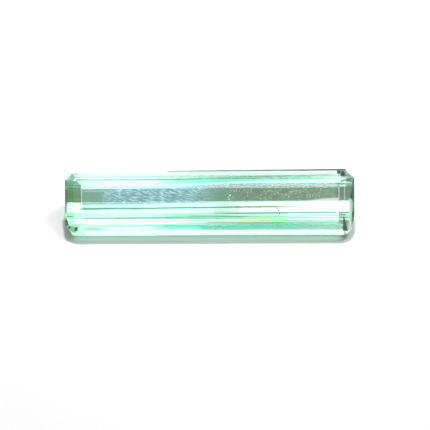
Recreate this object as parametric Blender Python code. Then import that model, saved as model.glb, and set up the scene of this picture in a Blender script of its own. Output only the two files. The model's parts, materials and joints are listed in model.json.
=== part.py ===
"""A long step-cut tourmaline gemstone, resting on one of its lowest pavilion facets.

Standalone Blender 4.5 script, in metres with +Z up: blender --background --python part.py

The stone is ground the way a lapidary cuts it. A rough block stands with the table facing up,
and each facet is one flat cut, given by the side it faces, its angle to the table plane and
the height at which its step starts. The finished stone then leans over until one of its
lowest pavilion facets lies flat on the floor.
"""

import math
from collections import namedtuple

import bmesh
import bpy
from mathutils import Matrix, Vector

MM = 0.001

# Outline of the girdle, seen from above the table.
LENGTH = 20.0 * MM
WIDTH = 4.5 * MM
BACK_TAPER = 0.4  # degrees that the back long side closes in towards the left end

# Corner cuts: how much each takes off the length, and off the width.
BACK_LEFT_CORNER = (0.53 * MM, 0.66 * MM)
FRONT_LEFT_CORNER = (0.57 * MM, 0.76 * MM)
BACK_RIGHT_CORNER = (0.57 * MM, 0.60 * MM)
FRONT_RIGHT_CORNER = (0.52 * MM, 0.78 * MM)
FRONT_RIGHT_FLAT = (0.30 * MM, 1.30 * MM)  # a second, steeper flat on the same corner

# Heights of the steps, from the girdle's upper edge up to the table.
RIM_STEP = 0.25 * MM
OUTER_STEP = 0.24 * MM
INNER_STEP = 0.22 * MM

# Depths of the steps, from the girdle down. The last facets run on until they meet.
GIRDLE = 0.09 * MM
UPPER_STEP = 0.57 * MM
MIDDLE_STEP = 0.76 * MM

# Angles of the facets to the table plane, in degrees.
# Crown: rim, outer and inner step. Pavilion: upper, middle and lowest step.
BACK_CROWN = (68.0, 38.5, 20.5)
BACK_PAVILION = (59.5, 54.0, 43.0)
FRONT_CROWN = (68.0, 41.0, 21.5)
FRONT_PAVILION = (58.0, 50.5, 43.5)
LEFT_CROWN = (60.0, 28.0, 21.0)
LEFT_PAVILION = (80.0, 76.0, 72.0)  # steep ends, as on most long tourmalines
RIGHT_CROWN = (54.0, 28.0, 25.0)
RIGHT_PAVILION = (77.0, 73.0, 69.0)
CORNER_CROWN = (70.0, 33.0, 26.0)
CORNER_PAVILION = (70.0, 66.0)  # these run out before the lowest step

ROUGH_MARGIN = 1.0 * MM  # how far the rough block stands out past the finished stone
ROUGH_DEPTH = 4.0 * MM
WELD = 1e-7

STONE_COLOUR = (0.42, 0.80, 0.62, 1.0)
STONE_ROUGHNESS = 0.03
STONE_IOR = 1.63

Side = namedtuple("Side", "faces distance crown pavilion")


def clear_scene():
    for thing in list(bpy.data.objects):
        bpy.data.objects.remove(thing, do_unlink=True)


def corner_side(towards_x, towards_y, cut):
    """The flat that a corner cut leaves: it faces outwards, between an end and a long side."""
    along, across = cut
    outwards = Vector((towards_x * across, towards_y * along)).normalized()
    start = Vector((towards_x * (LENGTH / 2 - along), towards_y * WIDTH / 2))
    faces = math.degrees(math.atan2(outwards.y, outwards.x))
    return Side(faces, outwards.dot(start), CORNER_CROWN, CORNER_PAVILION)


def stone_sides():
    """Every flat side of the outline, with the direction it faces in degrees from +X."""
    return (
        Side(0.0, LENGTH / 2, RIGHT_CROWN, RIGHT_PAVILION),
        corner_side(1, 1, BACK_RIGHT_CORNER),
        Side(90.0 + BACK_TAPER, WIDTH / 2, BACK_CROWN, BACK_PAVILION),
        corner_side(-1, 1, BACK_LEFT_CORNER),
        Side(180.0, LENGTH / 2, LEFT_CROWN, LEFT_PAVILION),
        corner_side(-1, -1, FRONT_LEFT_CORNER),
        Side(270.0, WIDTH / 2, FRONT_CROWN, FRONT_PAVILION),
        corner_side(1, -1, FRONT_RIGHT_CORNER),
        corner_side(1, -1, FRONT_RIGHT_FLAT),
    )


def rough_block():
    """The rough: a plain block, larger than the finished stone on every side."""
    stone = bmesh.new()
    size = (LENGTH + 2 * ROUGH_MARGIN, WIDTH + 2 * ROUGH_MARGIN, 2 * ROUGH_DEPTH)
    bmesh.ops.create_cube(stone, size=1.0, matrix=Matrix.Diagonal((*size, 1.0)))
    return stone


def grind(stone, point, outwards):
    """Cut off all that lies outside one flat facet, and close the cut with the facet."""
    everything = stone.verts[:] + stone.edges[:] + stone.faces[:]
    cut = bmesh.ops.bisect_plane(
        stone, geom=everything, dist=WELD, plane_co=point, plane_no=outwards, clear_outer=True
    )
    rim = [edge for edge in cut["geom_cut"] if isinstance(edge, bmesh.types.BMEdge)]
    bmesh.ops.contextual_create(stone, geom=rim)


def grind_steps(stone, side, angles, heights, upwards, start):
    """Grind one side's facets in order away from the girdle, each where the last one ends.

    upwards is 1 for the crown and -1 for the pavilion; start is the height of the first facet.
    """
    turn = math.radians(side.faces)
    plan = Vector((math.cos(turn), math.sin(turn), 0.0))
    point = plan * side.distance + Vector((0.0, 0.0, start))
    for angle, height in zip(angles, heights):
        slope = math.radians(angle)
        outwards = plan * math.sin(slope) + Vector((0.0, 0.0, upwards * math.cos(slope)))
        grind(stone, point, outwards)
        point = point - plan * height / math.tan(slope) + Vector((0.0, 0.0, upwards * height))


def cut_stone():
    """Grind the whole stone, with the table facing up and the girdle's upper edge at z = 0."""
    stone = rough_block()
    crown_heights = (RIM_STEP, OUTER_STEP, INNER_STEP)
    pavilion_depths = (UPPER_STEP, MIDDLE_STEP, 0.0)
    for side in stone_sides():
        turn = math.radians(side.faces)
        plan = Vector((math.cos(turn), math.sin(turn), 0.0))
        grind(stone, plan * side.distance, plan)
        grind_steps(stone, side, side.pavilion, pavilion_depths, -1, -GIRDLE)
        grind_steps(stone, side, side.crown, crown_heights, 1, 0.0)
    grind(stone, Vector((0.0, 0.0, sum(crown_heights))), Vector((0.0, 0.0, 1.0)))
    bmesh.ops.remove_doubles(stone, verts=stone.verts, dist=WELD)
    bmesh.ops.recalc_face_normals(stone, faces=stone.faces)
    return stone


def tourmaline():
    """Pale mint-green, clear and polished."""
    material = bpy.data.materials.new("tourmaline")
    material.use_nodes = True
    finish = material.node_tree.nodes["Principled BSDF"]
    finish.inputs["Base Color"].default_value = STONE_COLOUR
    finish.inputs["Roughness"].default_value = STONE_ROUGHNESS
    finish.inputs["Metallic"].default_value = 0.0
    finish.inputs["IOR"].default_value = STONE_IOR
    finish.inputs["Transmission Weight"].default_value = 1.0
    return material


def rest_on_facet(stone):
    """Lean the stone over on to its lowest front facet, and centre it over the origin."""
    stone.transform(Matrix.Rotation(math.radians(FRONT_PAVILION[-1]), 4, "X"))
    corners = [vert.co for vert in stone.verts]
    low = [min(corner[axis] for corner in corners) for axis in range(3)]
    high = [max(corner[axis] for corner in corners) for axis in range(3)]
    middle = Vector(((low[0] + high[0]) / 2, (low[1] + high[1]) / 2, low[2]))
    stone.transform(Matrix.Translation(-middle))


def build_gemstone():
    collection = bpy.data.collections.new("tourmaline_gemstone")
    bpy.context.scene.collection.children.link(collection)
    stone = cut_stone()
    rest_on_facet(stone)
    mesh = bpy.data.meshes.new("gemstone")
    stone.to_mesh(mesh)
    stone.free()
    gemstone = bpy.data.objects.new("gemstone", mesh)
    gemstone.data.materials.append(tourmaline())
    collection.objects.link(gemstone)
    return gemstone


clear_scene()
build_gemstone()
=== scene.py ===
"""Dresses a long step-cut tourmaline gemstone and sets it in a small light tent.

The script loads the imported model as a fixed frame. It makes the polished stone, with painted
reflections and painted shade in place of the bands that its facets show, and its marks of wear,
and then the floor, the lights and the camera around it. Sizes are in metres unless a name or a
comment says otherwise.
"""

import json
import math

import bmesh
import bpy
from mathutils import Matrix, Vector


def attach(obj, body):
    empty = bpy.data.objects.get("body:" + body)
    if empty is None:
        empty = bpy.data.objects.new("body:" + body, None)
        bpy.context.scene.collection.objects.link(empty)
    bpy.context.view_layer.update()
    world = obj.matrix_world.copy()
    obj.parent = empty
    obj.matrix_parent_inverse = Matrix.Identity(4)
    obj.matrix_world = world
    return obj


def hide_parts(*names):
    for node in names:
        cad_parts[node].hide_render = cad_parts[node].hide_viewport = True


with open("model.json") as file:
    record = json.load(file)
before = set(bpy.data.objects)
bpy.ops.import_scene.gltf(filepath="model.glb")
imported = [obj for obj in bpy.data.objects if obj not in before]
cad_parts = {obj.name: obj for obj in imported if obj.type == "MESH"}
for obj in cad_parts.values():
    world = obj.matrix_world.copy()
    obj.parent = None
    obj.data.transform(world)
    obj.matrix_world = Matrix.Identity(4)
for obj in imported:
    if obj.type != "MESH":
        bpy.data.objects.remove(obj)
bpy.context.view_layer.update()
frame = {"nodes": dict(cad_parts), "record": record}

bl_info = {
    "name": "Tourmaline gemstone",
    "version": (1, 0, 0),
    "blender": (4, 5, 0),
    "location": "3D View > Sidebar > Gemstone",
    "description": "Builds a polished step-cut tourmaline and a small studio around it",
    "category": "Object",
}

MM = 0.001
BODY = "root"
NODE = "gemstone"
PIECE = "polished_stone"

TABLE = next(mount for mount in frame["record"]["mounts"] if mount["name"] == "table")
TABLE_CENTRE = Vector(TABLE["pos_m"])
TABLE_NORMAL = Vector(TABLE["axis"])
LEAN = math.atan2(-TABLE_NORMAL.y, TABLE_NORMAL.z)  # how far the table leans to the front


# ---------------------------------------------------------------- shader helpers


class Signal:
    """A number or colour in a shader: arithmetic on it adds Math nodes to its material."""

    def __init__(self, recipe, socket):
        self.recipe = recipe
        self.socket = socket

    def _math(self, operation, *values):
        return self.recipe.node("ShaderNodeMath", {"operation": operation}, *values)

    def __add__(self, other):
        return self._math("ADD", self, other)

    __radd__ = __add__

    def __sub__(self, other):
        return self._math("SUBTRACT", self, other)

    def __rsub__(self, other):
        return self._math("SUBTRACT", other, self)

    def __mul__(self, other):
        return self._math("MULTIPLY", self, other)

    def larger(self, other):
        return self._math("MAXIMUM", self, other)

    def absolute(self):
        return self._math("ABSOLUTE", self)

    def root(self):
        return self._math("SQRT", self)

    def ramp(self, low, high):
        """0 at low and 1 at high, with soft ends. low may be the larger of the two."""
        settings = {"interpolation_type": "SMOOTHSTEP"}
        return self.recipe.node("ShaderNodeMapRange", settings, self, low, high)

    def between(self, low, high, soft):
        """1 from low to high, and 0 outside them, with soft ends."""
        half = soft / 2
        return self.ramp(low - half, low + half) * self.ramp(high + half, high - half)

    def near(self, place, outer, inner):
        """1 up to a distance inner from a place, and 0 from a distance outer."""
        return (self - place).absolute().ramp(outer, inner)

    def other_output(self, name):
        """Another output of the node that this signal comes from."""
        return Signal(self.recipe, self.socket.node.outputs[name])


def largest(signal, *others):
    """The largest of some signals, which joins the masks that they hold."""
    for other in others:
        signal = signal.larger(other)
    return signal


class Recipe:
    """A new material, with the nodes that make its finish."""

    def __init__(self, name):
        self.material = bpy.data.materials.new(name)
        self.material.use_nodes = True
        self.tree = self.material.node_tree
        self.tree.nodes.clear()

    def node(self, kind, settings=None, *inputs, **named_inputs):
        """Add a node: its settings first, then its sockets by order or by name."""
        node = self.tree.nodes.new(kind)
        for setting, value in (settings or {}).items():
            setattr(node, setting, value)
        open_inputs = [socket for socket in node.inputs if socket.enabled]
        sockets = list(zip(open_inputs, inputs))
        for name, value in named_inputs.items():
            sockets.append((node.inputs[name.replace("_", " ")], value))
        for socket, value in sockets:
            if isinstance(value, Signal):
                self.tree.links.new(value.socket, socket)
            else:
                socket.default_value = value
        return Signal(self, next(socket for socket in node.outputs if socket.enabled))

    def mix(self, factor, under, over):
        """One colour over another, by a factor."""
        colours = [
            colour if isinstance(colour, Signal) else (*colour, 1.0) for colour in (under, over)
        ]
        return self.node("ShaderNodeMix", {"data_type": "RGBA"}, factor, *colours)

    def finish(self, surface, volume=None):
        """Give the material its surface and its volume, and return it."""
        output = self.tree.nodes.new("ShaderNodeOutputMaterial")
        self.tree.links.new(surface.socket, output.inputs["Surface"])
        if volume:
            self.tree.links.new(volume.socket, output.inputs["Volume"])
        return self.material


# ---------------------------------------------------------------- settings


def colour_property(name, description, colour):
    """A setting that is a colour."""
    return bpy.props.FloatVectorProperty(
        name=name, description=description, default=colour, subtype="COLOR", min=0.0, max=1.0,
    )


class StoneSettings(bpy.types.PropertyGroup):
    """The stone's finish"""

    edge_wear: bpy.props.FloatProperty(
        name="Edge wear",
        description="Width of the soft line that handling leaves along each facet edge",
        default=0.02 * MM, min=0.0, unit="LENGTH",
    )
    keel_wear: bpy.props.FloatProperty(
        name="Keel wear", description="Width of the rounding along the long edges underneath",
        default=0.05 * MM, min=0.0, unit="LENGTH",
    )
    refraction: bpy.props.FloatProperty(
        name="Refraction", description="Index of refraction of tourmaline", default=1.63,
    )
    depth_colour: colour_property(
        "Depth colour", "Colour that light takes on as it crosses the crystal", (0.13, 0.89, 0.60),
    )
    depth_strength: bpy.props.FloatProperty(
        name="Depth strength", description="How fast that colour builds up, for each metre",
        default=140.0,
    )
    # Painted reflection: this grey-brown and the brown patches colour the dark band that the
    # table's right half reflects.
    warm_band_reflection: colour_property(
        "Warm zone", "Grey-brown tinge of the crystal's right half", (1.0, 0.64, 0.40),
    )
    brown_band_reflection: colour_property(
        "Brown patches", "Pinkish-brown patches in the warm zone", (1.0, 0.48, 0.34),
    )
    # Painted reflection: this olive stands in for what the left end's facets reflect.
    olive_end_reflection: colour_property(
        "Olive zone", "Yellow-green tinge of its left end", (0.72, 0.80, 0.30),
    )
    # Painted reflection: the blue-green wedge stands in for a band that the front crown facets
    # reflect.
    green_band_reflection: colour_property(
        "Green zone", "Blue-green wedge along its front", (0.16, 0.88, 0.72),
    )
    # Painted reflection: the mint streak stands in for a band that the back crown facets reflect.
    mint_band_reflection: colour_property(
        "Pale zone", "Mint streak along its back", (0.15, 0.64, 0.40),
    )
    grey_line: colour_property(
        "Grey line", "Tinge of the rubbed table edge", (0.85, 0.30, 0.42),
    )
    # Painted shade: thin dark lines where the facets' edges and dark reflections show.
    painted_shade_line: colour_property(
        "Dark line", "Tinge of the thin growth lines", (0.06, 0.09, 0.08),
    )
    # The scratches scatter light; their blue is painted, and stands in for the bluish light that
    # they reflect.
    haze: colour_property(
        "Haze", "Colour of the light that fine scratches scatter", (0.24, 0.56, 1.0),
    )
    haze_strength: bpy.props.FloatProperty(
        name="Haze strength", description="How much of the light the scratches scatter",
        default=0.60, min=0.0, max=1.0, subtype="FACTOR",
    )


class StudioSettings(bpy.types.PropertyGroup):
    """The camera, the floor and the tent"""

    elevation: bpy.props.FloatProperty(
        name="Camera elevation", description="Angle of the camera above the floor",
        default=math.radians(48.0), subtype="ANGLE",
    )
    azimuth: bpy.props.FloatProperty(
        name="Camera azimuth", description="Turn of the camera around the stone, from the front",
        default=math.radians(-0.3), subtype="ANGLE",
    )
    distance: bpy.props.FloatProperty(
        name="Camera distance", description="From the camera to the stone",
        default=0.2525, unit="LENGTH",
    )
    view_width: bpy.props.FloatProperty(
        name="View width", description="Width that the picture takes in at the stone",
        default=29.9 * MM, unit="LENGTH",
    )
    aim_right: bpy.props.FloatProperty(
        name="Aim to the right", description="From the origin to the picture's middle, rightwards",
        default=0.37 * MM, unit="LENGTH",
    )
    aim_up: bpy.props.FloatProperty(
        name="Aim up", description="From the origin to the picture's middle, upwards",
        default=0.33 * MM, unit="LENGTH",
    )
    tent_radius: bpy.props.FloatProperty(
        name="Tent radius", description="From the stone to each strip light",
        default=0.20, unit="LENGTH",
    )
    floor_colour: colour_property(
        "Floor colour", "Colour of the sheet that the stone lies on", (0.90, 0.90, 0.90),
    )
    glow_colour: colour_property(
        "Glow colour", "Colour of the light that the stone casts into its shadow",
        (0.50, 0.90, 0.70),
    )
    glow_strength: bpy.props.FloatProperty(
        name="Glow strength", description="Brightness of that light", default=0.62, min=0.0,
    )


# ---------------------------------------------------------------- the stone's surface
#
# What is drawn on the stone is placed in millimetres: along the stone, from the middle of its
# table to the right, and straight across it, from the same point to the back. A mask is 1 where
# a mark or zone is and 0 elsewhere.

# Heights above the table, in millimetres, between which the crown and the table begin.
CROWN_FOOT = (-0.80, -0.74)
TABLE_RIM = (-0.06, -0.02)
# The bands that waver below are painted reflections and painted shade.
WAVER = 0.10  # how far the growth zones waver from straight lines, in millimetres
STROKE_ROUGHNESS = 0.55  # how strong the finer detail in the strokes of noise is
SPOT_CORE = 0.4  # the share of a spot's size that is full, before it fades
DUST_CELLS = 4.2  # cells for each millimetre, each with one place for a grain of dust

# Tinges in small parts of the crystal: most are painted reflections of its bands and ends and
# painted shade on its lines and rims; VEIL_MINT is a veil inside it.
CLEAR = (1.0, 1.0, 1.0)
CORNER_OLIVE = (0.42, 0.55, 0.30)
END_GREEN = (0.70, 0.94, 0.58)
CORNER_GREEN = (0.45, 0.85, 0.50)
FOOT_GREEN = (0.22, 0.42, 0.30)
VEIL_MINT = (0.66, 0.98, 0.80)
TABLE_FOOT_SHADE = (0.22, 0.28, 0.26)
BACK_RIM_SHADE = (0.10, 0.14, 0.13)
RIGHT_END_PINK = (0.74, 0.60, 0.62)
RIGHT_CORNER_BROWN = (0.34, 0.25, 0.25)
RIGHT_RIM_DARK = (0.04, 0.06, 0.05)
LEFT_RIM_DARK = (0.25, 0.34, 0.25)

# Colours of the matte marks, beside the haze's own. The blue is a painted reflection on real
# scratches; the white also paints highlights on ridges, and the dark also paints shade on rims.
WISP_BLUE = (0.58, 0.84, 1.0)
DUST_AND_HIGHLIGHT_WHITE = (0.90, 0.93, 0.90)
CHIP_AND_SHADE_DARK = (0.02, 0.06, 0.045)
MATTE_ROUGHNESS = 0.5
DUST_AND_HIGHLIGHT_STRENGTH = 0.8

# Bright specks of dust in the polish: places on the table and sizes.
SPECKS = (((1.34, 0.56), 0.09), ((1.30, 0.28), 0.07), ((1.22, 0.44), 0.05))
# Painted highlights along the ridges between the end facets: place along the stone, and where each
# starts and ends across it.
RIDGE_HIGHLIGHTS = ((-8.88, -0.05, 1.20), (8.86, 0.30, 1.22), (9.25, 0.20, 1.60))
# Small dark chips, at the corners and in a row at the foot of the table: places and sizes.
CHIPS = (
    ((9.14, 2.02), 0.28), ((8.86, 2.14), 0.20), ((-9.30, -1.76), 0.15), ((-9.98, -1.20), 0.14),
    ((-9.96, -1.42), 0.12), ((-9.76, -1.64), 0.12), ((4.48, -0.25), 0.07), ((4.60, -0.36), 0.06),
    ((4.70, -0.48), 0.07), ((4.76, -0.70), 0.06),
)


class Canvas:
    """The stone's surface to draw on: where a point lies on it, and the noise to draw with."""

    def __init__(self, recipe):
        self.recipe = recipe
        point = recipe.node("ShaderNodeTexCoord").other_output("Object")
        shift = Matrix.Rotation(-LEAN, 3, "X") @ TABLE_CENTRE / -MM
        place = recipe.node(
            "ShaderNodeMapping", {"vector_type": "POINT"}, point, shift, (-LEAN, 0.0, 0.0),
            (1 / MM, 1 / MM, 1 / MM),
        )
        axes = recipe.node("ShaderNodeSeparateXYZ", None, place)
        self.along = axes.other_output("X")
        self.straight = axes.other_output("Y")
        above = axes.other_output("Z")
        self.crown = above.ramp(*CROWN_FOOT)
        self.table = above.ramp(*TABLE_RIM)
        self.across = self.straight + (self.strokes(3.0, 0.35, seed=4.0) - 0.5) * WAVER
        self.grain = self.strokes(1.1, 0.16, seed=21.0)
        self.mottle = self.strokes(0.60, 0.24, seed=41.0, detail=2.0)
        self.mottled = (self.crown * self.across.between(0.25, 1.00, 0.15)
                        * self.along.between(1.6, 8.7, 1.2))

    def strokes(self, length, width, seed, turn=0.0, detail=3.0):
        """Noise from 0 to 1 in strokes of a length and width, turned by an angle in degrees."""
        recipe = self.recipe
        point = recipe.node("ShaderNodeCombineXYZ", None, self.along, self.straight, seed)
        place = recipe.node(
            "ShaderNodeMapping", {"vector_type": "TEXTURE"}, point, (0.0, 0.0, 0.0),
            (0.0, 0.0, math.radians(turn)), (length, width, 1.0),
        )
        return recipe.node(
            "ShaderNodeTexNoise", {"noise_dimensions": "3D"}, place,
            Scale=1.0, Detail=detail, Roughness=STROKE_ROUGHNESS,
        )

    def spot(self, place, size):
        """1 near a place, fading to 0 at a distance."""
        aside = self.along - place[0]
        back = self.straight - place[1]
        return (aside * aside + back * back).root().ramp(size, size * SPOT_CORE)


class Tinge:
    """The crystal's tinge, built up from one tint over another; most tints are painted reflections
    and painted shade.
    """

    def __init__(self, recipe):
        self.recipe = recipe
        self.colour = CLEAR

    def add(self, mask, colour):
        """Lay a tint over the others, where its mask is not 0."""
        self.colour = self.recipe.mix(mask, self.colour, colour)


def tint_middle(stone, tinge, settings):
    """Painted reflection: grey-brown tints, with patches, on the dark band that the table's right
    half reflects.
    """
    along, across = stone.along, stone.across
    right_half = across.between(0.19, 1.05, 0.10) * along.ramp(-2.5, 2.5) * along.ramp(8.9, 8.7)
    uneven = 0.45 + stone.grain.ramp(0.38, 0.58) * 0.55
    tinge.add(stone.crown * right_half * uneven, settings.warm_band_reflection)
    tinge.add(stone.mottled * stone.mottle.ramp(0.50, 0.58), settings.brown_band_reflection)


def tint_left_end(stone, tinge, settings):
    """Painted reflections: the olive of the left end's facets and the greens of its corners."""
    along, across, straight, crown = stone.along, stone.across, stone.straight, stone.crown
    end = crown * along.ramp(-8.92, -9.00)
    tinge.add(end * across.ramp(-0.22, 0.16) * across.ramp(1.16, 1.04), settings.olive_end_reflection)
    tinge.add(end * across.between(1.05, 1.45, 0.10), CORNER_OLIVE)
    tinge.add(crown * along.ramp(-9.20, -9.50) * across.ramp(0.10, -0.10), END_GREEN)
    corner = (along + straight * 0.9).ramp(-10.45, -10.60) * straight.ramp(-1.2, -1.3)
    tinge.add(crown * corner, CORNER_GREEN)


def tint_zones(stone, tinge, settings):
    """Painted reflections of the blue-green wedge along the front and the mint streak along the
    back, and a mint veil.
    """
    along, across, crown = stone.along, stone.across, stone.crown
    wedge_top = (along * 0.031 - 1.435).larger(-1.42)
    wedge = (wedge_top - across).ramp(-0.03, 0.06) * across.ramp(-1.80, -1.72)
    reach = along.ramp(-4.6, -2.6) * along.ramp(8.8, 8.6) * (1.0 - along.ramp(5.0, 8.0) * 0.45)
    tinge.add(crown * wedge * reach, settings.green_band_reflection)
    # Painted reflection: the end of the blue-green band at the left foot.
    left_foot = across.between(-1.84, -1.62, 0.04) * along.ramp(-8.9, -8.7) * along.ramp(-6.6, -7.8)
    tinge.add(crown * left_foot, FOOT_GREEN)
    streak = (across - along * 0.030 - 1.62).between(-0.19, 0.17, 0.06)
    strength = 0.25 + along.ramp(-4.5, -2.0) * 0.75 + along.ramp(-6.8, -8.2) * 0.30
    tinge.add(crown * streak * strength * along.between(-8.9, 8.3, 1.6), settings.mint_band_reflection)
    veil = across.between(-0.93, 0.03, 0.10) * along.between(0.35, 1.30, 0.30)
    tinge.add(stone.table * veil, VEIL_MINT)


def tint_lines(stone, tinge, settings):
    """The rubbed table edge, and painted shade: thin dark lines where facet edges and dark
    reflections show through the crystal.
    """
    along, across, straight = stone.along, stone.across, stone.straight
    crown, table = stone.crown, stone.table
    back_edge = across.between(1.10, 1.33, 0.05) * along.between(-1.0, 8.9, 3.0)
    tinge.add(crown * back_edge, settings.grey_line)
    # Painted shade: thin dark lines where facet edges and dark reflections show through the table
    # and crown.
    foot_line = (across - along * 0.008).near(-0.27, 0.09, 0.04) * along.ramp(8.0, 4.0)
    tinge.add(table * foot_line, settings.painted_shade_line)
    edge_line = straight.near(1.345, 0.07, 0.03) * along.ramp(-1.0, 2.0)
    tinge.add(crown * edge_line, settings.painted_shade_line)
    back_line = (straight - along * 0.010).near(1.81, 0.05, 0.02) * along.ramp(-1.0, 3.0)
    tinge.add(crown * back_line, settings.painted_shade_line)
    # Painted shade: the soft grey lower edge of the dark band that the table reflects.
    table_foot = (across - along * 0.015).ramp(0.01, 0.09) * across.ramp(0.13, 0.08)
    tinge.add(table * table_foot, TABLE_FOOT_SHADE)
    faint_line = (across - along * 0.011).near(-0.89, 0.06, 0.02) * along.ramp(3.5, 0.5) * 0.08
    tinge.add(table * faint_line, settings.painted_shade_line)
    # Painted shade: a dark line along the back rim.
    tinge.add(crown * straight.ramp(2.20, 2.24) * along.ramp(-3.4, -2.0), BACK_RIM_SHADE)


def tint_rims(stone, tinge):
    """Painted reflections: the right end's greys and browns; and painted shade: the dark rims of
    both ends.
    """
    along, straight = stone.along, stone.straight
    end = stone.crown * along.ramp(8.84, 8.90)
    # Painted reflections: greys and browns on the right end's facets.
    tinge.add(end * straight.between(0.35, 1.12, 0.08), RIGHT_END_PINK)
    corner = along.ramp(9.36, 9.44) * straight.between(1.12, 1.85, 0.08)
    tinge.add(end * corner, RIGHT_CORNER_BROWN)
    # Painted shade: dark rims at both ends.
    tinge.add(along.ramp(9.73, 9.79), RIGHT_RIM_DARK)
    tinge.add(along.ramp(-9.88, -9.93), LEFT_RIM_DARK)


def scratch_wisps(stone):
    """Fine crossing scratches, as a mask that isn't yet held to a part of the table."""
    steep = stone.strokes(0.60, 0.055, seed=9.0, turn=-21.0, detail=1.5)
    shallow = stone.strokes(0.60, 0.05, seed=12.0, turn=-6.0, detail=1.5)
    return steep.ramp(0.53, 0.62).larger(shallow.ramp(0.56, 0.66))


def scratch_haze(stone, wisps, strength):
    """How much light the scratches on the table's left half scatter."""
    along, across = stone.along, stone.across
    area = along.ramp(-7.9, -6.7) * along.ramp(0.8, -1.4) * across.between(-0.12, 1.10, 0.20)
    clouds = stone.strokes(1.4, 0.30, seed=15.0, turn=-10.0).ramp(0.35, 0.65)
    amount = (0.13 + wisps * 1.30 + clouds * 0.16) * (0.8 + across.ramp(0.45, 1.05) * 0.5)
    return stone.table * area * amount * strength


def dust_and_ridge_highlights(stone):
    """Dust on the table's right half, its brightest specks, and painted highlights along the ridges
    of the ends.
    """
    recipe = stone.recipe
    along, across, straight = stone.along, stone.across, stone.straight
    point = recipe.node("ShaderNodeCombineXYZ", None, along, straight, 0.0)
    field = recipe.node(
        "ShaderNodeTexVoronoi", {"voronoi_dimensions": "2D"}, point, Scale=DUST_CELLS,
    )
    cell_value = recipe.node("ShaderNodeSeparateColor", None, field.other_output("Color"))
    grains = field.ramp(0.14, 0.06) * cell_value.ramp(0.36, 0.42)
    area = stone.table * along.between(1.0, 7.8, 0.4) * across.between(0.12, 1.05, 0.1)
    corner_tick = straight.near(1.19, 0.05, 0.02) * along.between(8.95, 9.32, 0.08)
    wedge_nick = along.near(0.13, 0.06, 0.02) * straight.between(-1.78, -1.44, 0.08)
    # Painted highlights along the ridges between the end facets.
    end_ridge_highlights = [
        along.near(place, 0.05, 0.02) * straight.between(low, high, 0.1) * 0.6
        for place, low, high in RIDGE_HIGHLIGHTS
    ]
    return largest(
        grains * area,
        *(stone.spot(place, size) * stone.table for place, size in SPECKS),
        *(stone.crown * mark for mark in (corner_tick, wedge_nick * 0.45, *end_ridge_highlights)),
    )


def left_table_line(stone):
    """A light line along the back of the table, at its left end."""
    return stone.straight.near(0.88, 0.05, 0.02) * stone.along.between(-8.8, -6.9, 0.6)


def rubbed_places(stone, left_line):
    """Where the polish is rubbed matte, and how much."""
    along, across, straight = stone.along, stone.across, stone.straight
    crown, table = stone.crown, stone.table
    right_ridge = along.ramp(9.45, 9.60) * along.ramp(9.78, 9.70) * straight.ramp(0.35, 0.25)
    right_end = along.between(8.86, 9.72, 0.08) * (0.03 + straight.ramp(-1.2, -0.9) * 0.05)
    foot_top = along.ramp(4.5, 8.8) * 0.40
    table_foot = (foot_top - across).ramp(-0.06, 0.12) * across.ramp(-0.04, 0.06)
    back_strip = straight.between(1.93, 2.24, 0.08) * along.between(-4.0, 8.6, 3.0)
    table_edge = straight.between(1.07, 1.40, 0.08) * along.between(-2.0, 8.9, 2.0)
    fine = stone.strokes(0.26, 0.07, seed=33.0, detail=1.0)
    return largest(
        crown * right_ridge * 0.5,
        crown * right_end,
        table * table_foot * along.ramp(8.95, 8.80) * 0.6,
        stone.mottled * stone.mottle.ramp(0.50, 0.40) * 0.07,
        crown * back_strip * (0.22 + stone.grain * 0.2),
        table * left_line * 0.3,
        crown * table_edge * (0.10 + fine.ramp(0.42, 0.60) * 0.40),
        crown * straight.ramp(2.08, 2.13) * along.ramp(-2.4, -3.4) * 0.9,
    )


def chips_and_rim_shade(stone):
    """Small dark chips, a long one near the right end, and painted shade on the rims of the girdle
    and along the back.
    """
    along, straight = stone.along, stone.straight
    fang = (along - 9.24 + (straight + 1.4) * 0.12).absolute() + (straight + 0.9) * 0.13
    return stone.crown * largest(
        fang.ramp(0.05, 0.01) * straight.between(-1.92, -0.95, 0.05) * 0.92,
        # Painted shade: dark rims at both ends and along the back.
        along.ramp(9.79, 9.85) * straight.between(-1.7, 2.0, 0.5) * 0.8,
        along.ramp(-9.90, -9.95) * straight.between(0.0, 1.9, 0.4) * 0.7,
        straight.ramp(2.24, 2.28) * along.ramp(-3.0, -0.5) * 0.6,
        *(stone.spot(place, size) for place, size in CHIPS),
    )


def pale_places(stone, dust_and_highlights, left_line):
    """Where the matte marks are white and not blue: all but the scratched half."""
    along, straight = stone.along, stone.straight
    return largest(
        dust_and_highlights,
        along.ramp(3.0, 4.0),
        straight.ramp(1.8, 1.9),
        left_line,
        straight.ramp(1.08, 1.16) * along.ramp(-1.5, 1.0) * 0.6,
        along.ramp(-8.6, -8.8),
    )


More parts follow.
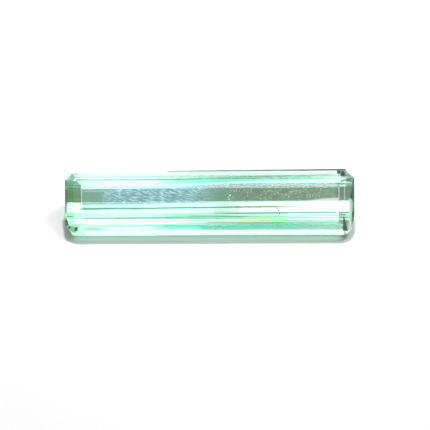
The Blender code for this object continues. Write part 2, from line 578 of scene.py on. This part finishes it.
def tourmaline(settings):
    """Clear pale green crystal with painted reflections and painted shade on its bands, fine
    scratches and rubbed facet edges.
    """
    recipe = Recipe("tourmaline")
    stone = Canvas(recipe)

    tinge = Tinge(recipe)
    tint_middle(stone, tinge, settings)
    tint_left_end(stone, tinge, settings)
    tint_zones(stone, tinge, settings)
    tint_lines(stone, tinge, settings)
    tint_rims(stone, tinge)
    ridge_rub = stone.crown * stone.straight.between(-1.58, -1.38, 0.06) * 0.26
    clear = recipe.node(
        "ShaderNodeBsdfPrincipled", None, Base_Color=tinge.colour, Roughness=ridge_rub,
        IOR=settings.refraction, Transmission_Weight=1.0,
    )

    wisps = scratch_wisps(stone)
    haze = scratch_haze(stone, wisps, settings.haze_strength)
    dust_and_highlights = dust_and_ridge_highlights(stone)
    left_line = left_table_line(stone)
    rubbed = rubbed_places(stone, left_line)
    chipped_and_shaded = chips_and_rim_shade(stone)
    # Painted reflection: the scratches' blue stands in for the bluish light that they reflect.
    scratched_colour = recipe.mix(wisps, settings.haze, WISP_BLUE)
    light_colour = recipe.mix(pale_places(stone, dust_and_highlights, left_line), scratched_colour, DUST_AND_HIGHLIGHT_WHITE)
    matte = recipe.node(
        "ShaderNodeBsdfPrincipled", None,
        Base_Color=recipe.mix(chipped_and_shaded.ramp(0.0, 0.3), light_colour, CHIP_AND_SHADE_DARK),
        Roughness=MATTE_ROUGHNESS,
    )
    outside = 1.0 - recipe.node("ShaderNodeNewGeometry").other_output("Backfacing")
    marked = largest(haze, dust_and_highlights * DUST_AND_HIGHLIGHT_STRENGTH, rubbed, chipped_and_shaded) * outside

    depth = recipe.node(
        "ShaderNodeVolumeAbsorption", None,
        Color=(*settings.depth_colour, 1.0), Density=settings.depth_strength,
    )
    return recipe.finish(recipe.node("ShaderNodeMixShader", None, marked, clear, matte), depth)


# ---------------------------------------------------------------- the stone


WELD = 0.001 * MM
FLAT = math.radians(0.2)  # triangles that meet at less than this are one facet
# The keel: edges underneath that are longer than this and deeper than this below the table.
KEEL_LENGTH = 12.0 * MM
KEEL_DEPTH = 1.0 * MM
KEEL_SEGMENTS = 4
EDGE_SEGMENTS = 2


def solid_copy(node_name):
    """The CAD node's solid with its loose triangles joined into whole facets."""
    solid = bmesh.new()
    solid.from_mesh(frame["nodes"][node_name].data)
    bmesh.ops.remove_doubles(solid, verts=solid.verts, dist=WELD)
    bmesh.ops.dissolve_limit(solid, angle_limit=FLAT, verts=solid.verts, edges=solid.edges)
    bmesh.ops.recalc_face_normals(solid, faces=solid.faces)
    return solid


def is_keel(edge):
    """Whether an edge is one of the long ones underneath."""
    deep = all(TABLE_NORMAL.dot(end.co - TABLE_CENTRE) < -KEEL_DEPTH for end in edge.verts)
    return deep and edge.calc_length() > KEEL_LENGTH


def wear(solid, edges, width, segments):
    """Round some of a solid's edges."""
    bmesh.ops.bevel(
        solid, geom=edges, offset=width, offset_type="OFFSET", affect="EDGES",
        segments=segments, profile=0.5, material=-1, clamp_overlap=True,
    )


def add_piece(name, solid, material):
    """Make a finished piece from a bmesh, and let it ride on the stone's body."""
    mesh = bpy.data.meshes.new(name)
    solid.to_mesh(mesh)
    solid.free()
    mesh.materials.append(material)
    piece = bpy.data.objects.new(name, mesh)
    bpy.context.scene.collection.objects.link(piece)
    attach(piece, BODY)
    return piece


class GEM_OT_polished_stone(bpy.types.Operator):
    """Make the polished stone, with lightly worn facet edges"""

    bl_idname = "gemstone.polished_stone"
    bl_label = "Polished stone"

    def execute(self, context):
        settings = context.scene.gem_stone
        solid = solid_copy(NODE)
        keel = [edge for edge in solid.edges if is_keel(edge)]
        wear(solid, keel, settings.keel_wear, KEEL_SEGMENTS)
        if settings.edge_wear > 0.0:
            wear(solid, solid.edges[:], settings.edge_wear, EDGE_SEGMENTS)
        piece = add_piece(PIECE, solid, tourmaline(settings))
        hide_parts(NODE)
        return {"FINISHED"}


# ---------------------------------------------------------------- the stage


FLOOR_HALF_SIZE = 0.6
FLOOR_ROUGHNESS = 0.9
FLOOR_GAP = 0.01 * MM  # the film of air under the stone, which keeps its lowest facet a mirror
CLIP_START = 0.01
BOUNCES = 32  # enough for light that the facets throw back and forth inside the stone

# The strip lights run along the stone. Their places on that axis are in millimetres. The long
# facets mirror a strip as far as SPAN to each side, and only the end facets mirror the rest.
REACH = 250.0
SPAN = 28.0
# Each strip: its name, the angles around that axis where it starts and ends in degrees (0 is the
# front, 90 overhead and 180 the back), and its brightness, as one value or as pairs of a value
# and the place where it ends. They light the stone only. Each long facet mirrors one narrow strip
# to the viewer.
STRIPS = (
    ("front_skirt", 12.0, 22.4, 0.4),
    ("table_front_line", 22.5, 25.5, ((1.7, -SPAN), (3.6, 0.0), (2.8, REACH))),
    ("front_dim", 26.0, 33.0, 0.6),
    ("dark_band", 33.2, 36.9, (
        (0.32, -SPAN), (0.42, 6.0), (0.39, 12.5), (0.43, SPAN), (0.35, REACH))),
    ("camera_gap", 37.0, 43.0, ((0.5, SPAN), (2.0, REACH))),
    ("front_ridge", 43.2, 44.7, (
        (1.2, -SPAN), (3.2, 1.0), (1.9, 7.0), (1.2, SPAN), (2.6, REACH))),
    ("table_gloss_foot", 44.8, 45.3, (
        (0.9, -SPAN), (4.2, -11.0), (3.6, -8.0), (3.0, -5.0), (2.4, -2.0), (1.9, 1.0),
        (1.5, 10.0), (2.4, REACH))),
    ("table_gloss", 45.32, 46.12, 0.9),
    ("teal_band", 46.14, 46.5, (
        (1.1, -SPAN), (4.5, -4.0), (3.6, -1.5), (2.0, 0.0), (1.1, 2.0), (0.75, 7.0),
        (0.68, 12.0), (1.2, SPAN), (1.4, REACH))),
    ("mint_band", 46.52, 47.03, (
        (0.9, -SPAN), (1.3, -6.0), (1.4, 0.0), (1.2, 9.0), (1.3, 12.0), (1.5, REACH))),
    ("mint_edge", 47.05, 47.9, (
        (1.0, -SPAN), (1.3, -6.0), (1.5, -1.0), (1.9, 7.0), (3.2, SPAN), (1.5, REACH))),
    ("back_bright", 48.0, 49.5, ((1.9, SPAN), (1.1, REACH))),
    ("back_grey", 49.55, 51.9, (
        (0.8, -SPAN), (2.0, -6.0), (1.5, -1.0), (1.1, SPAN), (0.25, REACH))),
    ("front_middle", 52.0, 57.0, 1.2),
    ("bright_step", 57.2, 59.5, ((2.3, SPAN), (0.3, REACH))),
    ("bright_band", 59.55, 63.0, (
        (3.0, -SPAN), (1.25, -13.0), (1.6, -6.0), (1.9, 6.0), (2.3, 10.0), (2.5, REACH))),
    ("roof_front", 63.2, 75.8, 0.6),
    ("rim_line", 76.0, 78.0, ((18.0, -8.0), (10.0, -4.0), (0.3, REACH))),
    ("roof", 78.2, 84.0, 0.8),
    ("back_sheen", 84.2, 85.9, ((14.0, 10.0), (18.0, REACH))),
    ("shoulder_foot", 86.0, 86.78, ((2.0, -SPAN), (4.0, -7.0), (2.0, -2.0), (1.0, REACH))),
    ("shoulder", 86.82, 88.0, (
        (2.5, -SPAN), (9.0, -12.0), (8.0, -7.0), (6.0, -2.0), (4.2, 7.0), (5.2, 12.0),
        (8.0, REACH))),
    ("roof_back", 88.2, 96.8, 0.6),
    ("end_sheen", 97.0, 102.6, ((0.6, SPAN), (2.4, REACH))),
    ("ridge_line", 102.8, 105.2, ((1.6, -SPAN), (3.6, 1.0), (2.0, REACH))),
    ("upper_back", 105.5, 120.4, 0.5),
    ("back_lamp", 120.6, 124.0, ((3.0, -SPAN), (6.0, -4.0), (4.5, REACH))),
    ("back_gap", 124.2, 131.2, 0.4),
    ("front_foot", 131.4, 133.4, ((1.5, -6.0), (1.1, 0.0), (0.75, REACH))),
    ("low_back", 133.6, 147.0, 1.0),
    ("horizon", 147.2, 165.0, 1.5),
)
# The floor's own lights: name, angles, brightness, and where each starts and ends. The key lamp
# throws the stone's shadow forwards, the side lamp a fainter one to the left, and the sky fills
# both.
FLOOR_LIGHTS = (
    ("key_lamp", 111.6, 113.2, 950.0, -4.0, 11.0),
    ("side_lamp", 100.0, 111.0, 20.0, 60.0, 120.0),
    ("sky", 60.0, 120.0, 1.3, -110.0, 110.0),
)
# The soft panels beyond the tent's open ends.
PANEL_SIZE = 0.16
PANEL_DISTANCE = 0.26
PANEL_HEIGHT = 0.09
PANEL_BRIGHTNESS = 0.9
# The light that the stone casts into its own shadow, from under the front of its girdle.
GLOW_LENGTH = 18.4 * MM
GLOW_WIDTH = 0.4 * MM
GLOW_PLACE = Vector((-0.2, -1.72, 0.22)) * MM
OVERHEAD = Vector((0.0, 0.0, 1.0))


def view_axes(azimuth, elevation):
    """The picture's right and up directions, and the direction back to the camera."""
    back = Vector((
        math.sin(azimuth) * math.cos(elevation),
        -math.cos(azimuth) * math.cos(elevation),
        math.sin(elevation),
    ))
    right = Vector((math.cos(azimuth), math.sin(azimuth), 0.0))
    return right, back.cross(right), back


def add_floor(settings):
    """The plain white sheet that the stone lies on."""
    grid = bmesh.new()
    bmesh.ops.create_grid(grid, x_segments=1, y_segments=1, size=FLOOR_HALF_SIZE)
    mesh = bpy.data.meshes.new("floor")
    grid.to_mesh(mesh)
    grid.free()
    recipe = Recipe("white_sheet")
    mesh.materials.append(recipe.finish(recipe.node(
        "ShaderNodeBsdfPrincipled", None,
        Base_Color=(*settings.floor_colour, 1.0), Roughness=FLOOR_ROUGHNESS,
    )))
    sheet = bpy.data.objects.new("floor", mesh)
    sheet.location.z = -FLOOR_GAP
    bpy.context.scene.collection.objects.link(sheet)
    return sheet


def receivers(name, lit_object):
    """A collection of the one object that some lights are held to."""
    collection = bpy.data.collections.new(name)
    collection.objects.link(lit_object)
    return collection


def add_light(name, length, width, brightness, place, away, lit):
    """An area light of a length and width, turned so that it shines against a direction."""
    lamp = bpy.data.lights.new(name, "AREA")
    lamp.shape = "RECTANGLE"
    lamp.size = length
    lamp.size_y = width
    lamp.energy = brightness * math.pi * length * width
    light = bpy.data.objects.new(name, lamp)
    light.location = place
    light.rotation_euler = away.to_track_quat("Z", "Y").to_euler()
    light.light_linking.receiver_collection = lit
    bpy.context.scene.collection.objects.link(light)
    return light


def add_strip(name, low, high, brightness, start, end, radius, lit):
    """One length of a strip light, on its place around the long axis."""
    turn = math.radians((low + high) / 2)
    away = Vector((0.0, -math.cos(turn) * radius, math.sin(turn) * radius))
    middle = Vector(((start + end) / 2 * MM, 0.0, 0.0))
    width = 2 * radius * math.tan(math.radians(high - low) / 2)
    add_light(name, (end - start) * MM, width, brightness, away + middle, away, lit)


def add_strips(radius, lit):
    """Every strip of the tent, in lengths where its brightness changes along the stone."""
    for name, low, high, brightness in STRIPS:
        lengths = brightness if isinstance(brightness, tuple) else ((brightness, REACH),)
        start = -REACH
        for value, end in lengths:
            add_strip(name, low, high, value, start, end, radius, lit)
            start = end


def add_end_panels(lit):
    """A soft panel beyond each end of the tent, so that the stone's end facets aren't unlit."""
    for name, side in (("left_panel", -1.0), ("right_panel", 1.0)):
        place = Vector((side * PANEL_DISTANCE, 0.0, PANEL_HEIGHT))
        add_light(name, PANEL_SIZE, PANEL_SIZE, PANEL_BRIGHTNESS, place, place, lit)


def add_crystal_glow(settings, lit):
    """The green light that the stone casts into its own shadow."""
    light = add_light(
        "crystal_glow", GLOW_LENGTH, GLOW_WIDTH, settings.glow_strength, GLOW_PLACE, OVERHEAD, lit,
    )
    light.data.color = settings.glow_colour
    light.visible_camera = False
    light.visible_glossy = False
    light.visible_transmission = False


def add_camera(settings):
    """The camera, which looks at a point beside the origin."""
    right, up, back = view_axes(settings.azimuth, settings.elevation)
    lens = bpy.data.cameras.new("camera")
    lens.lens = lens.sensor_width * settings.distance / settings.view_width
    lens.clip_start = CLIP_START
    camera = bpy.data.objects.new("camera", lens)
    aim = right * settings.aim_right + up * settings.aim_up
    camera.location = aim + back * settings.distance
    camera.rotation_euler = Matrix((right, up, back)).transposed().to_euler()
    bpy.context.scene.collection.objects.link(camera)
    bpy.context.scene.camera = camera


def darken_world(scene):
    """A black world, so that only the lamps light the scene."""
    world = bpy.data.worlds.new("tent")
    world.use_nodes = True
    world.node_tree.nodes["Background"].inputs["Strength"].default_value = 0.0
    scene.world = world


class GEM_OT_studio(bpy.types.Operator):
    """Set up the floor, the lights and the camera"""

    bl_idname = "gemstone.studio"
    bl_label = "Studio"

    def execute(self, context):
        settings = context.scene.gem_studio
        floor = receivers("stage", add_floor(settings))
        stone = receivers("pieces", bpy.data.objects[PIECE])
        add_strips(settings.tent_radius, stone)
        add_end_panels(stone)
        for strip in FLOOR_LIGHTS:
            add_strip(*strip, settings.tent_radius, floor)
        add_crystal_glow(settings, floor)
        darken_world(context.scene)
        add_camera(settings)
        context.scene.view_settings.view_transform = "Standard"
        cycles = context.scene.cycles
        cycles.max_bounces = BOUNCES
        cycles.glossy_bounces = BOUNCES
        cycles.transmission_bounces = BOUNCES
        return {"FINISHED"}


# ---------------------------------------------------------------- the sidebar


class GEM_PT_sidebar(bpy.types.Panel):
    """The settings of the stone and the studio, each with its button"""

    bl_idname = "GEM_PT_sidebar"
    bl_label = "Gemstone"
    bl_space_type = "VIEW_3D"
    bl_region_type = "UI"
    bl_category = "Gemstone"

    def draw(self, context):
        for settings, operator in (
            (context.scene.gem_stone, "gemstone.polished_stone"),
            (context.scene.gem_studio, "gemstone.studio"),
        ):
            box = self.layout.box()
            for name in type(settings).__annotations__:
                box.prop(settings, name)
            box.operator(operator)


CLASSES = (
    StoneSettings, StudioSettings, GEM_OT_polished_stone, GEM_OT_studio, GEM_PT_sidebar,
)


def register():
    for cls in CLASSES:
        bpy.utils.register_class(cls)
    bpy.types.Scene.gem_stone = bpy.props.PointerProperty(type=StoneSettings)
    bpy.types.Scene.gem_studio = bpy.props.PointerProperty(type=StudioSettings)


def unregister():
    del bpy.types.Scene.gem_studio
    del bpy.types.Scene.gem_stone
    for cls in reversed(CLASSES):
        bpy.utils.unregister_class(cls)


def main():
    register()
    bpy.ops.gemstone.polished_stone()
    bpy.ops.gemstone.studio()


if __name__ == "__main__":
    main()
